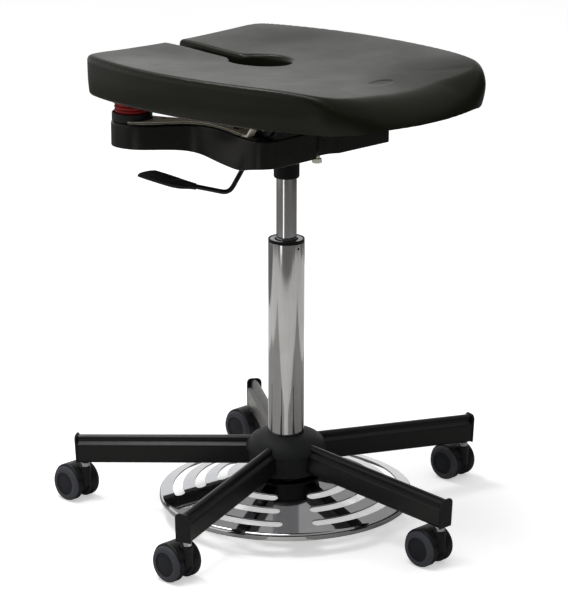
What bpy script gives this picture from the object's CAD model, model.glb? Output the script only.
"""Perch stool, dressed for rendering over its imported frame.

The frame is in metres: +Z up, the seat's front towards -Y, the floor at zero. Sizes of the stool are written
in millimetres about the column's axis, and the functions that make a form turn them into metres by MM.
"""
import logging
import math
from dataclasses import dataclass
from enum import Enum
from typing import Callable, Iterable, Sequence

import bmesh
import bpy
import numpy as np
from mathutils import Matrix, Vector


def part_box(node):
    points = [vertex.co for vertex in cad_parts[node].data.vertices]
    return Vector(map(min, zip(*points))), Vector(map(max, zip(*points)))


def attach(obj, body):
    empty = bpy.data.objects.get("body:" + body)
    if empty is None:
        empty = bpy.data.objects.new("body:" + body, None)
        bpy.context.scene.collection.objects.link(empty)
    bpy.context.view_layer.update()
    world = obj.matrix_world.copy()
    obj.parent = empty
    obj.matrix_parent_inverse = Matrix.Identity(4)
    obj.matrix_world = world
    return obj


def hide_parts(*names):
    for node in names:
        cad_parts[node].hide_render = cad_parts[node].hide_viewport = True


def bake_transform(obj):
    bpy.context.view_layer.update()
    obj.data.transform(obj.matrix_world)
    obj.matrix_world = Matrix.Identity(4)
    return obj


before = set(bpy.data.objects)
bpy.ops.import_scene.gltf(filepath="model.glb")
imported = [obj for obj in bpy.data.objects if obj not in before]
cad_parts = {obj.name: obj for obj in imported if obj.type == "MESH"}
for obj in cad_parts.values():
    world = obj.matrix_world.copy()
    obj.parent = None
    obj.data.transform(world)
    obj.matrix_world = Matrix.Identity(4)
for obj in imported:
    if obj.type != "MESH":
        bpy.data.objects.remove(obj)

log = logging.getLogger("perch_stool")

MM = 0.001
LOW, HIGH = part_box("column_tube")
AXIS_Y = (LOW[1] + HIGH[1]) / 2
Form = bmesh.types.BMesh
Point2 = tuple[float, float]
Rgb = tuple[int, int, int]
Socket = bpy.types.NodeSocket


class Body(Enum):
    """Rigid bodies of the frame that pieces ride on."""

    BASE = "base"
    DISC = "disc"
    LIFT = "lift"
    SEAT = "seat"
    LEVER = "tilt_lever"


class Slot(Enum):
    """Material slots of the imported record."""

    FOAM = "black_foam"
    BLACK_PLASTIC = "black_plastic"
    GREY_PLASTIC = "grey_plastic"
    COAT = "black_coat"
    TREAD = "grey_tyre"
    CHROME = "chrome"
    STEEL = "steel"
    ZINC = "zinc"
    RUBBER = "red_rubber"
    PLY = "plywood"


def linear(red: int, green: int, blue: int) -> tuple[float, float, float, float]:
    """Turn an 8-bit screen colour into the linear colour that a shader takes.

    Args:
        red: red, 0 to 255.
        green: green, 0 to 255.
        blue: blue, 0 to 255.

    Returns:
        Linear red, green, blue and an alpha of 1.
    """
    shares = [channel / 255 for channel in (red, green, blue)]
    curve = [c / 12.92 if c <= 0.04045 else ((c + 0.055) / 1.055) ** 2.4 for c in shares]
    return (*curve, 1.0)


class Shader:
    """One node material around a Principled surface, with patterns on Object coordinates."""

    colour_inputs = (6, 7)
    colour_output = 2

    def __init__(self, name: str) -> None:
        """Start an empty material.

        Args:
            name: the material's name.
        """
        self.material = bpy.data.materials.new(name)
        self.material.use_nodes = True
        self.tree = self.material.node_tree
        self.surface = self.tree.nodes["Principled BSDF"]
        self.coords = self.tree.nodes.new("ShaderNodeTexCoord").outputs["Object"]

    def set(self, **values: object) -> None:
        """Set plain values on the surface's own sockets, named with _ for a space."""
        for socket, value in values.items():
            self.surface.inputs[socket.replace("_", " ")].default_value = value

    def link(self, source: Socket, socket: str) -> None:
        """Drive one of the surface's sockets from a pattern."""
        self.tree.links.new(source, self.surface.inputs[socket])

    def add(self, kind: str, values: dict[str | int, object],
            links: dict[str | int, Socket]) -> bpy.types.Node:
        """Add a node.

        Args:
            kind: the node's type, without its prefix.
            values: plain values of its sockets.
            links: what drives its other sockets.

        Returns:
            The node.
        """
        node = self.tree.nodes.new("ShaderNode" + kind)
        for socket, value in values.items():
            node.inputs[socket].default_value = value
        for socket, source in links.items():
            self.tree.links.new(source, node.inputs[socket])
        return node

    def stretched(self, scale: Sequence[float], turn: Sequence[float] = (0, 0, 0)) -> Socket:
        """Object coordinates, turned and stretched along each axis.

        Args:
            scale: factor along X, Y and Z.
            turn: rotation in degrees about X, Y and Z.

        Returns:
            The mapped coordinates.
        """
        values = {"Scale": scale, "Rotation": [math.radians(angle) for angle in turn]}
        return self.add("Mapping", values, {"Vector": self.coords}).outputs["Vector"]

    def noise(self, scale: float, detail: float = 3, rough: float = 0.5,
              coords: Socket | None = None) -> Socket:
        """A cloudy pattern.

        Args:
            scale: patches to the metre.
            detail: finer layers.
            rough: weight of the finer layers.
            coords: coordinates other than the plain Object ones.

        Returns:
            The pattern's height, from 0 to 1.
        """
        values = {"Scale": scale, "Detail": detail, "Roughness": rough}
        return self.add("TexNoise", values, {"Vector": coords or self.coords}).outputs["Fac"]

    def cells(self, scale: float) -> Socket:
        """Distance to the nearest of a set of scattered points, for pebbled grain."""
        return self.add("TexVoronoi", {"Scale": scale}, {"Vector": self.coords}).outputs["Distance"]

    def spread(self, source: Socket, low: float, high: float, start: float = 0.3,
               stop: float = 0.7) -> Socket:
        """Stretch part of a pattern's range onto a new range.

        Args:
            source: the pattern.
            low: value at start.
            high: value at stop.
            start: lower end of the range that is read.
            stop: upper end of the range that is read.

        Returns:
            The new value.
        """
        values = {"From Min": start, "From Max": stop, "To Min": low, "To Max": high}
        return self.add("MapRange", values, {"Value": source}).outputs["Result"]

    def times(self, pattern: Socket, factor: Socket | float) -> Socket:
        """Multiply a pattern by a number or by another pattern.

        Args:
            pattern: the pattern.
            factor: the other pattern, or the number.

        Returns:
            The product.
        """
        node = self.add("Math", {}, {0: pattern})
        node.operation = "MULTIPLY"
        if isinstance(factor, Socket):
            self.tree.links.new(factor, node.inputs[1])
        else:
            node.inputs[1].default_value = factor
        return node.outputs[0]

    def blend(self, share: Socket, *colours: Sequence[float] | Socket) -> Socket:
        """Mix two colours by a pattern.

        Args:
            share: 0 gives the first colour and 1 the second.
            colours: both colours, each a linear colour or a colour socket.

        Returns:
            The mixed colour.
        """
        node = self.tree.nodes.new("ShaderNodeMix")
        node.data_type = "RGBA"
        self.tree.links.new(share, node.inputs["Factor"])
        for index, colour in zip(self.colour_inputs, colours):
            if isinstance(colour, Socket):
                self.tree.links.new(colour, node.inputs[index])
            else:
                node.inputs[index].default_value = colour
        return node.outputs[self.colour_output]

    def emboss(self, height: Socket, depth: float, strength: float = 1.0,
               under: Socket | None = None) -> Socket:
        """Raise and sink the surface by a pattern.

        Args:
            height: the pattern.
            depth: metres from its lowest to its highest point.
            strength: share of the effect.
            under: normal of a coarser pattern beneath.

        Returns:
            The new normal.
        """
        links = {"Height": height} if under is None else {"Height": height, "Normal": under}
        return self.add("Bump", {"Distance": depth, "Strength": strength}, links).outputs["Normal"]


@dataclass(frozen=True)
class Finish:
    """A finish with cloudy tone and gloss over a fine grain. Scales are to the metre, depths in metres."""

    name: str
    slot: Slot
    tone: Rgb
    second: Rgb
    gloss: Point2
    metal: float = 0.0
    cloud: float = 30.0
    grain: float = 1500.0
    grain_depth: float = 0.00004
    brushed: tuple[float, float, float] = (1.0, 1.0, 1.0)
    specular: float = 0.5

    def dress(self, shader: Shader) -> None:
        """Add the patterns to an empty material.

        Args:
            shader: the material to fill.
        """
        share = shader.spread(shader.noise(self.cloud, 4, 0.6), 0, 1)
        shader.link(shader.blend(share, linear(*self.tone), linear(*self.second)), "Base Color")
        coords = shader.stretched(self.brushed)
        shader.link(shader.spread(shader.noise(self.cloud * 7, 3, 0.55, coords), *self.gloss), "Roughness")
        shader.link(shader.emboss(shader.noise(self.grain, 2, 0.5, coords), self.grain_depth), "Normal")
        shader.set(Metallic=self.metal, Specular_IOR_Level=self.specular)

    def material(self) -> bpy.types.Material:
        """The finish's material, made once.

        Returns:
            The material.
        """
        found = bpy.data.materials.get(self.name)
        if found is None:
            shader = Shader(self.name)
            self.dress(shader)
            found = shader.material
        return found


@dataclass(frozen=True)
class FoamSkin(Finish):
    """Moulded foam with a skin: pebbled grain, uneven sheen and a few pale rubs on the sitting surface."""

    rubbed: Rgb = (86, 86, 80)
    top_from: Point2 = (0.63, 0.637)
    streak: float = 26.0
    streak_turn: float = 32.0
    streak_range: Point2 = (0.64, 0.82)
    sheen: float = 11.0
    swell: float = 60.0
    swell_depth: float = 0.0004
    pebble: float = 900.0

    def dress(self, shader: Shader) -> None:
        """Add grain, uneven sheen and rubs.

        Args:
            shader: the material to fill.
        """
        share = shader.spread(shader.noise(self.cloud, 5, 0.6), 0, 1)
        tone = shader.blend(share, linear(*self.tone), linear(*self.second))
        along = shader.stretched((1.0, 5.0, 1.0), (0, 0, self.streak_turn))
        streaks = shader.noise(self.streak, 4, 0.7, along)
        height = shader.add("SeparateXYZ", {}, {0: shader.coords}).outputs["Z"]
        on_top = shader.spread(height, 0, 1, *self.top_from)
        rubs = shader.times(shader.spread(streaks, 0, 0.3, *self.streak_range), on_top)
        shader.link(shader.blend(rubs, tone, linear(*self.rubbed)), "Base Color")
        shader.link(shader.spread(shader.noise(self.sheen, 4, 0.6), *self.gloss), "Roughness")
        coarse = shader.emboss(shader.noise(self.swell), self.swell_depth, 0.35)
        shader.link(shader.emboss(shader.cells(self.pebble), self.grain_depth, 0.6, coarse), "Normal")
        shader.set(Specular_IOR_Level=self.specular)


@dataclass(frozen=True)
class Ply(Finish):
    """Stained plywood: long grain on the face, thin layers on the edge."""

    layers: float = 105.0
    wobble: float = 0.6
    glue_share: float = 0.45

    def dress(self, shader: Shader) -> None:
        """Add long grain and edge layers.

        Args:
            shader: the material to fill.
        """
        long_grain = shader.noise(self.grain, 6, 0.62, shader.stretched((9.0, 1.0, 1.0)))
        tone = shader.blend(shader.spread(long_grain, 0, 1), linear(*self.tone), linear(*self.second))
        bands = {"Scale": self.layers, "Distortion": self.wobble}
        wave = shader.add("TexWave", bands, {"Vector": shader.coords})
        wave.bands_direction = "Z"
        dark = (*(channel * self.glue_share for channel in linear(*self.tone)[:3]), 1.0)
        shader.link(shader.blend(shader.spread(wave.outputs["Fac"], 0, 0.5), tone, dark), "Base Color")
        shader.link(shader.spread(long_grain, *self.gloss), "Roughness")
        shader.link(shader.emboss(long_grain, self.grain_depth), "Normal")


FOAM = FoamSkin("foam_skin", Slot.FOAM, (17, 17, 10), (22, 22, 13), (0.3, 0.38), cloud=9, grain_depth=0.00006,
                specular=0.17)
BLACK_PLASTIC = Finish("black_plastic_moulding", Slot.BLACK_PLASTIC, (23, 23, 25), (29, 29, 30), (0.34, 0.46),
                       specular=0.2)
MATTE_BLACK = Finish("matte_black_edge", Slot.BLACK_PLASTIC, (9, 9, 10), (13, 13, 14), (0.45, 0.58),
                     specular=0.16)
GREY_PLASTIC = Finish("hub_moulding", Slot.GREY_PLASTIC, (33, 34, 35), (39, 40, 40), (0.5, 0.62), grain=1100,
                      grain_depth=0.00003, specular=0.14)
COAT = Finish("black_powder_coat", Slot.COAT, (14, 14, 15), (18, 18, 19), (0.28, 0.33), cloud=14, grain=600,
              grain_depth=0.000004, specular=0.35)
CAST_COAT = Finish("cast_black_coat", Slot.COAT, (14, 14, 13), (18, 18, 16), (0.24, 0.28), cloud=12,
                   grain=500, grain_depth=0.000003, specular=0.28)
TREAD = Finish("soft_grey_tread", Slot.TREAD, (58, 59, 64), (66, 67, 72), (0.55, 0.68), grain=1300,
               specular=0.2)
WHEEL_FACE = Finish("dark_wheel_face", Slot.TREAD, (30, 31, 35), (36, 37, 41), (0.45, 0.58), grain=1300,
                    specular=0.16)
CHROME = Finish("polished_chrome", Slot.CHROME, (198, 199, 202), (190, 191, 194), (0.035, 0.075), 1.0,
                grain=500, grain_depth=0.000004)
COLUMN_CHROME = Finish("column_chrome", Slot.CHROME, (190, 191, 194), (182, 182, 183), (0.06, 0.1), 1.0,
                       grain=420, grain_depth=0.000003, brushed=(1.0, 1.0, 0.06))
TUBE_CHROME = Finish("sliding_tube_chrome", Slot.CHROME, (206, 207, 209), (198, 198, 199), (0.08, 0.12), 1.0,
                     grain=420, grain_depth=0.000003, brushed=(1.0, 1.0, 0.05))
STEEL = Finish("drawn_steel", Slot.STEEL, (168, 170, 172), (150, 151, 153), (0.28, 0.4), 1.0,
               brushed=(1.0, 1.0, 0.1), grain=700, grain_depth=0.00002)
ZINC = Finish("zinc_plate", Slot.ZINC, (224, 222, 202), (208, 205, 184), (0.45, 0.56), 0.2, cloud=55,
              grain=900, grain_depth=0.00003)
CUT_EDGE = Finish("zinc_cut_edge", Slot.ZINC, (92, 91, 80), (78, 77, 68), (0.5, 0.6), 0.2, cloud=55,
                  grain=900, grain_depth=0.00003)
RED_RUBBER = Finish("red_rubber_moulding", Slot.RUBBER, (136, 24, 20), (120, 20, 18), (0.5, 0.62), grain=1200,
                    specular=0.3)
STAINED_PLY = Ply("stained_plywood", Slot.PLY, (74, 54, 38), (58, 42, 30), (0.6, 0.75), grain=16,
                  grain_depth=0.0001)


def arc(centre: Point2, radius: float, start: float, stop: float, steps: int) -> list[Point2]:
    """Points along a circular arc.

    Args:
        centre: the circle's centre.
        radius: its radius.
        start: first angle in degrees.
        stop: last angle in degrees.
        steps: number of chords.

    Returns:
        steps + 1 points.
    """
    angles = [math.radians(start + (stop - start) * i / steps) for i in range(steps + 1)]
    return [(centre[0] + radius * math.cos(a), centre[1] + radius * math.sin(a)) for a in angles]


def ellipse(centre: Point2, reach: Point2, start: float, stop: float, steps: int) -> list[Point2]:
    """Points along an arc of an ellipse.

    Args:
        centre: its centre.
        reach: half its width and half its height.
        start: first angle in degrees.
        stop: last angle in degrees.
        steps: number of chords.

    Returns:
        steps + 1 points.
    """
    ring = arc((0, 0), 1, start, stop, steps)
    return [(centre[0] + reach[0] * c, centre[1] + reach[1] * s) for c, s in ring]


def bezier(a: Point2, b: Point2, c: Point2, d: Point2, steps: int) -> list[Point2]:
    """Points along a cubic curve from a to d, pulled towards b and c.

    Args:
        a: start.
        b: first pull.
        c: second pull.
        d: end.
        steps: number of chords.

    Returns:
        steps + 1 points.
    """
    points = []
    for i in range(steps + 1):
        t = i / steps
        weights = ((1 - t) ** 3, 3 * t * (1 - t) ** 2, 3 * t * t * (1 - t), t ** 3)
        points.append(tuple(sum(w * p[k] for w, p in zip(weights, (a, b, c, d))) for k in (0, 1)))
    return points


def bend(start: Vector, corner: Vector, stop: Vector, steps: int) -> list[Vector]:
    """Points along a bend that leaves start and meets stop as the sides of a corner do.

    Args:
        start: first point.
        corner: the corner that is cut.
        stop: last point.
        steps: number of chords.

    Returns:
        steps + 1 points.
    """
    shares = [k / steps for k in range(steps + 1)]
    return [start * (1 - t) ** 2 + corner * 2 * t * (1 - t) + stop * t * t for t in shares]


def eased(points: Sequence[Point2], radius: float, closed: bool = True, steps: int = 3) -> list[Point2]:
    """Round the corners of an outline.

    Args:
        points: the corners.
        radius: largest rounding, less where the sides are short.
        closed: whether the last corner joins the first.
        steps: chords to a corner.

    Returns:
        The rounded outline.
    """
    side_share, nearly_straight = 0.45, math.radians(172)
    result: list[Point2] = []
    count = len(points)
    for i, corner in enumerate(points):
        here = Vector(corner)
        before, after = Vector(points[i - 1]) - here, Vector(points[(i + 1) % count]) - here
        reach = min(radius, before.length * side_share, after.length * side_share)
        is_end = not closed and i in (0, count - 1)
        if is_end or reach < 1e-9 or before.angle(after, 0) > nearly_straight:
            result.append(tuple(here))
            continue
        start, stop = here + before.normalized() * reach, here + after.normalized() * reach
        result += [tuple(point) for point in bend(start, here, stop, steps)]
    return result


def mirrored(points: Sequence[Point2]) -> list[Point2]:
    """The same points on the other side of the middle line, in reverse order."""
    return [(-x, y) for x, y in reversed(points)]


def lathe(profile: Sequence[Point2], steps: int = 64, closed: bool = False) -> Form:
    """Turn a profile about Z.

    Args:
        profile: radius and height of each point in millimetres.
        steps: facets around.
        closed: whether the last point joins the first.

    Returns:
        The closed form.
    """
    bm = bmesh.new()
    verts = [bm.verts.new((r * MM, 0, z * MM)) for r, z in profile]
    pairs = list(zip(verts, verts[1:])) + ([(verts[-1], verts[0])] if closed else [])
    edges = [bm.edges.new(pair) for pair in pairs if (pair[0].co - pair[1].co).length > 1e-9]
    bmesh.ops.spin(bm, geom=verts + edges, axis=(0, 0, 1), cent=(0, 0, 0), angle=2 * math.pi,
                   steps=steps, use_merge=True, use_duplicate=False)
    bmesh.ops.remove_doubles(bm, verts=bm.verts[:], dist=1e-6)
    return faced_out(bm)


def faced_out(bm: Form) -> Form:
    """Turn every face of a closed form outwards."""
    bmesh.ops.recalc_face_normals(bm, faces=bm.faces[:])
    return bm


def about_x(bm: Form) -> Form:
    """Lay a form that was turned about Z along +X."""
    bmesh.ops.rotate(bm, verts=bm.verts[:], cent=(0, 0, 0), matrix=Matrix.Rotation(math.pi / 2, 3, "Y"))
    return bm


def moved(bm: Form, place: Sequence[float]) -> Form:
    """Move a form by a vector in millimetres."""
    bmesh.ops.translate(bm, verts=bm.verts[:], vec=Vector(place) * MM)
    return bm


def turned_by(bm: Form, matrix: Matrix) -> Form:
    """Apply a 4 by 4 placement in metres to a form."""
    bmesh.ops.transform(bm, matrix=matrix, verts=bm.verts[:])
    return bm


def on_axis(bm: Form) -> Form:
    """Move a form drawn about the origin onto the column's axis."""
    return turned_by(bm, Matrix.Translation((0, AXIS_Y, 0)))


def joined(*forms: Form) -> Form:
    """Put several forms in one, in order.

    Args:
        forms: the forms, which are used up.

    Returns:
        One form that holds them all.
    """
    whole = bmesh.new()
    for form in forms:
        mesh = bpy.data.meshes.new("part_of_form")
        form.to_mesh(mesh)
        form.free()
        whole.from_mesh(mesh)
        bpy.data.meshes.remove(mesh)
    return whole


def slab(outline: Sequence[Point2], bottom: float, top: float, edge: float = 0.0, segments: int = 3,
         unit: float = MM) -> Form:
    """Extrude a flat outline upwards and round its rims.

    Args:
        outline: corners in order.
        bottom: height of the lower face.
        top: height of the upper face.
        edge: rounding of the rims.
        segments: chords of the rounding.
        unit: length in metres of the unit that all these sizes are in, 1 where they are in metres.

    Returns:
        The closed form.
    """
    bm = bmesh.new()
    face = bm.faces.new([bm.verts.new((x * unit, y * unit, bottom * unit)) for x, y in outline])
    grown = bmesh.ops.extrude_face_region(bm, geom=[face])
    upper = [v for v in grown["geom"] if isinstance(v, bmesh.types.BMVert)]
    bmesh.ops.translate(bm, verts=upper, vec=(0, 0, top * unit - bottom * unit))
    faced_out(bm)
    if edge > 0:
        rims = [e for e in bm.edges if abs(e.verts[0].co.z - e.verts[1].co.z) < 1e-9]
        bmesh.ops.bevel(bm, geom=rims, offset=edge * unit, segments=segments, profile=0.5, affect="EDGES",
                        material=-1, clamp_overlap=True)
    return bm


def along_x(outline: Sequence[Point2], start: float, stop: float, edge: float = 0.0,
            segments: int = 3) -> Form:
    """Run an outline, drawn along Y and up Z, along X.

    Args:
        outline: corners in order, in millimetres.
        start: first place along X.
        stop: last place along X.
        edge: rounding of the end rims.
        segments: chords of the rounding.

    Returns:
        The closed form.
    """
    form = slab(outline, start, stop, edge, segments)
    return faced_out(turned_by(form, Matrix(((0, 0, 1, 0), (1, 0, 0, 0), (0, 1, 0, 0), (0, 0, 0, 1)))))


def brick(size: Sequence[float], centre: Sequence[float], edge: float) -> Form:
    """A box with rounded edges.

    Args:
        size: length along X, Y and Z in millimetres.
        centre: its middle.
        edge: rounding.

    Returns:
        The closed form.
    """
    bm = bmesh.new()
    bmesh.ops.create_cube(bm, size=1)
    bmesh.ops.scale(bm, vec=Vector(size) * MM, verts=bm.verts[:])
    if edge > 0:
        bmesh.ops.bevel(bm, geom=bm.edges[:], offset=edge * MM, segments=3, profile=0.5, affect="EDGES",
                        material=-1)
    return moved(bm, centre)


def walled(loops: Sequence[Sequence[Vector]]) -> Form:
    """Bridge a stack of loops that have equal counts and close both ends.

    Args:
        loops: the loops in millimetres, from one end face to the other.

    Returns:
        The closed form.
    """
    bm = bmesh.new()
    previous: list[bmesh.types.BMEdge] = []
    for number, loop in enumerate(loops):
        verts = [bm.verts.new(point * MM) for point in loop]
        edges = [bm.edges.new((verts[i - 1], verts[i])) for i in range(len(verts))]
        if previous:
            bmesh.ops.bridge_loops(bm, edges=previous + edges)
        if number in (0, len(loops) - 1):
            bm.faces.new(verts)
        previous = edges
    return faced_out(bm)


def sweep(path: Sequence[Vector], radius: float, sides: int) -> Form:
    """Carry a round section along a path that never stands upright.

    Args:
        path: points of the centre line in millimetres.
        radius: of the section.
        sides: facets of the section.

    Returns:
        The closed form.
    """
    turns = [2 * math.pi * k / sides for k in range(sides)]
    loops, normal, last = [], Vector((0, 0, 1)), len(path) - 1
    for i, point in enumerate(path):
        tangent = (path[min(i + 1, last)] - path[max(i - 1, 0)]).normalized()
        side = tangent.cross(normal).normalized()
        normal = side.cross(tangent).normalized()
        loops.append([point + (side * math.cos(a) + normal * math.sin(a)) * radius for a in turns])
    return walled(loops)


def loose(name: str, form: Form) -> bpy.types.Object:
    """Put a form in the scene as an object.

    Args:
        name: the object's name.
        form: the form, which is used up.

    Returns:
        The object.
    """
    mesh = bpy.data.meshes.new(name)
    form.to_mesh(mesh)
    form.free()
    piece = bpy.data.objects.new(name, mesh)
    bpy.context.scene.collection.objects.link(piece)
    return piece


def settle(piece: bpy.types.Object) -> None:
    """Apply a piece's modifiers to its mesh.

    Args:
        piece: the piece, which keeps its name and place.
    """
    shape = bpy.data.meshes.new_from_object(piece.evaluated_get(bpy.context.evaluated_depsgraph_get()))
    piece.modifiers.clear()
    piece.data = shape


def carved(name: str, form: Form, cutters: Sequence[Form], voxel: float = 0.0) -> Form:
    """Cut other forms out of a form.

    Args:
        name: name for the working objects.
        form: the form to cut, which is used up.
        cutters: the forms to take away one by one, which are used up.
        voxel: size of the cells in metres for a form that is remeshed evenly, or 0.

    Returns:
        The cut form.
    """
    piece = loose(name + "_blank", form)
    tools = [loose(name + "_cutter", cutter) for cutter in cutters]
    for tool in tools:
        cut = piece.modifiers.new("cut", "BOOLEAN")
        cut.operation = "DIFFERENCE"
        cut.solver = "EXACT"
        cut.object = tool
    if voxel > 0:
        remesh = piece.modifiers.new("even", "REMESH")
        remesh.mode = "VOXEL"
        remesh.voxel_size = voxel
    bpy.context.view_layer.update()
    settle(piece)
    bm = bmesh.new()
    bm.from_mesh(piece.data)
    for done in (piece, *tools):
        mesh = done.data
        bpy.data.objects.remove(done)
        bpy.data.meshes.remove(mesh)
    return bm


def place_piece(name: str, form: Form, finishes: Finish | Sequence[Finish], body: Body | str | None,
                stands_for: Iterable[str], crease: float = 32.0) -> bpy.types.Object:
    """Make a finished piece of a form, dress it, and let it ride on its body.

    Args:
        name: the piece's name.
        form: its form, drawn about the column's axis, which is used up.
        finishes: one finish, or one for each material index of the form.
        body: the body it rides on, or None for a piece that bends between two.
        stands_for: CAD nodes that it replaces.
        crease: angle in degrees past which an edge stays sharp.

    Returns:
        The piece.
    """
    layers = [finishes] if isinstance(finishes, Finish) else list(finishes)
    piece = loose(name, on_axis(form))
    for layer in layers:
        piece.data.materials.append(layer.material())
    piece.data.shade_smooth()
    piece.data.set_sharp_from_angle(angle=math.radians(crease))
    weights = piece.modifiers.new("flat_faces_stay_flat", "WEIGHTED_NORMAL")
    weights.keep_sharp = True
    settle(piece)
    if body is not None:
        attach(piece, body.value if isinstance(body, Body) else body)
    nodes = list(stands_for)
    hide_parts(*nodes)
    log.info("%s: %d faces, rides on %s", name, len(piece.data.polygons), body)
    return piece


def dress_node(node: str, finish: Finish) -> None:
    """Give a carried-over CAD node a better material.

    Args:
        node: the node's name.
        finish: its finish.
    """
    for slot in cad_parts[node].material_slots:
        slot.material = finish.material()
    log.info("%s: keeps its solid, finish %s", node, finish.name)


def rise(value: np.ndarray, low: float, high: float) -> np.ndarray:
    """Share of the way from low to high, from 0 to 1."""
    return np.clip((value - low) / (high - low), 0, 1)


def smooth_rise(value: np.ndarray, low: float, high: float) -> np.ndarray:
    """Share of the way from low to high, eased at both ends."""
    share = rise(value, low, high)
    return share * share * (3 - 2 * share)


@dataclass
class SeatPad:
    """The foam seat, its board and its bracket, drawn level and then tipped up in front.

    The fields of the foam take places sideways, places ahead of the column and heights above the underside,
    in millimetres, and give the distance outside a surface: negative inside, zero on it.
    """

    tilt: float = 1.2
    pivot_y: float = -58.0
    pivot_z: float = 578.0
    underside: float = 594.6
    thick: float = 54.6
    half: float = 197.0
    widest: float = -32.7
    rear_narrowing: float = 8.7
    front_narrowing: float = 6.45
    front: float = 270.4
    front_bow: float = 18.0
    rear: float = 224.5
    rear_bow: float = -0.7
    front_soft: float = 11.0
    rear_soft: float = 8.0
    soft_blend: float = 60.0
    centre: float = 20.0
    side_edge: float = 6.5
    front_edge: float = 52.0
    edge_blend: Point2 = (-30.0, 60.0)
    draw_in: Point2 = (1.5, 9.0)
    draw_height: float = 30.0
    draw_fade: float = 0.8
    sill: float = 4.0
    keel: float = 0.09
    rim: float = 4.0
    dish: float = 11.0
    rear_dish: float = 4.5
    dish_full: float = -80.0
    dish_power: float = 1.35
    least_half: float = 60.0
    waterfall: float = 13.5
    waterfall_from: float = 110.0
    waterfall_lead: float = 60.0
    slot_half: float = 11.0
    hole_at: float = -49.0
    hole_long: float = 47.0
    hole_half: float = 36.0
    mouth_soft: float = 9.0
    lip: float = 6.5
    least_lip: float = 0.12
    board_inset: float = 14.0
    board_thick: float = 12.0
    board_slot: float = 8.0
    board_edge: float = 1.2
    gap: float = 0.3
    voxel: float = 2.6
    quick_voxel: float = 6.0
    blank_inset: float = 3.0
    oval_at: Point2 = (172.0, 0.0)
    oval_reach: Point2 = (22.0, 11.0)
    oval_depth: float = 0.7
    oval_wall: float = 6.0
    ear_inner: float = 95.5
    sheet: float = 3.0
    ear_radius: float = 14.0
    ear_root: Point2 = (-24.0, 26.0)
    bracket_long: float = 50.0
    screws: tuple[Point2, ...] = ((-70, -14), (-70, 16), (70, -14), (70, 16))

    def placement(self) -> Matrix:
        """Placement of the level seat, drawn with its underside at zero.

        Returns:
            The placement about the column's axis, in metres.
        """
        pivot = Matrix.Translation(Vector((0, self.pivot_y, self.pivot_z)) * MM)
        drop = Matrix.Translation(Vector((0, -self.pivot_y, self.underside - self.pivot_z)) * MM)
        return pivot @ Matrix.Rotation(-math.radians(self.tilt), 4, "X") @ drop

    def half_at(self, ahead: np.ndarray) -> np.ndarray:
        """Half width of the outline at places along it."""
        along = (ahead - self.widest) / 100
        return self.half - np.where(along > 0, self.front_narrowing, self.rear_narrowing) * along ** 2

    def past_front(self, x: np.ndarray, ahead: np.ndarray) -> np.ndarray:
        """Distance ahead of the bowed front edge."""
        return ahead - self.front + self.front_bow * (x / 100) ** 2

    def front_lead(self, x: np.ndarray, ahead: np.ndarray) -> np.ndarray:
        """How much nearer points lie to the front edge than to a side."""
        return self.past_front(x, ahead) - (np.abs(x) - self.half_at(ahead))

    def outline_field(self, x: np.ndarray, ahead: np.ndarray) -> np.ndarray:
        """Distance outside the seat's outline, whose corners are softened.

        Args:
            x: sideways places.
            ahead: places towards the front.

        Returns:
            The distances.
        """
        rear = -self.rear - self.rear_bow * (x / 100) ** 2 - ahead
        edges = (np.abs(x) - self.half_at(ahead), self.past_front(x, ahead), rear)
        share = smooth_rise(ahead, self.centre - self.soft_blend, self.centre + self.soft_blend)
        soft = self.rear_soft + (self.front_soft - self.rear_soft) * share
        top = np.maximum(np.maximum(edges[0], edges[1]), edges[2])
        return top + soft * np.log(sum(np.exp((value - top) / soft) for value in edges))

    def dip(self, x: np.ndarray, ahead: np.ndarray) -> np.ndarray:
        """Depth of the top's hollow and of its front slope.

        Args:
            x: sideways places.
            ahead: places towards the front.

        Returns:
            How far the top lies below its rim.
        """
        half = np.maximum(self.half_at(ahead) - self.rim, self.least_half)
        across = np.clip(1 - (x / half) ** 2, 0, 1) ** self.dish_power
        depth = self.rear_dish + (self.dish - self.rear_dish) * smooth_rise(ahead, -self.rear, self.dish_full)
        fall = np.clip((ahead - self.waterfall_from) / (self.front - self.waterfall_from), 0, 1.1)
        blend_from, blend_to = self.edge_blend
        lead = self.front_lead(x, ahead) + self.waterfall_lead
        return across * depth + self.waterfall * fall ** 2 * rise(lead, blend_from, blend_to)

    def opening_field(self, x: np.ndarray, ahead: np.ndarray) -> np.ndarray:
        """Distance outside the slot and its hole.

        Args:
            x: sideways places.
            ahead: places towards the front.

        Returns:
            The distances.
        """
        strip = np.maximum(np.abs(x) - self.slot_half, ahead - self.hole_at)
        past = ahead - self.hole_at
        reach = np.hypot(x / self.hole_half, past / self.hole_long) + 1e-9
        slope = np.hypot(x / self.hole_half ** 2, past / self.hole_long ** 2) + 1e-9
        hole = (reach - 1) * reach / slope
        near = np.clip(0.5 + 0.5 * (hole - strip) / self.mouth_soft, 0, 1)
        return hole * (1 - near) + strip * near - self.mouth_soft * near * (1 - near)

    @staticmethod
    def eased_corner(a: np.ndarray, b: np.ndarray, radius: np.ndarray | float) -> np.ndarray:
        """Meet two surfaces in a round edge.

        Args:
            a: distance outside the first.
            b: distance outside the second.
            radius: of the edge.

        Returns:
            Distance outside both.
        """
        inner = np.minimum(np.maximum(a, b), -radius)
        return inner + np.hypot(np.maximum(a + radius, 0), np.maximum(b + radius, 0))

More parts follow.
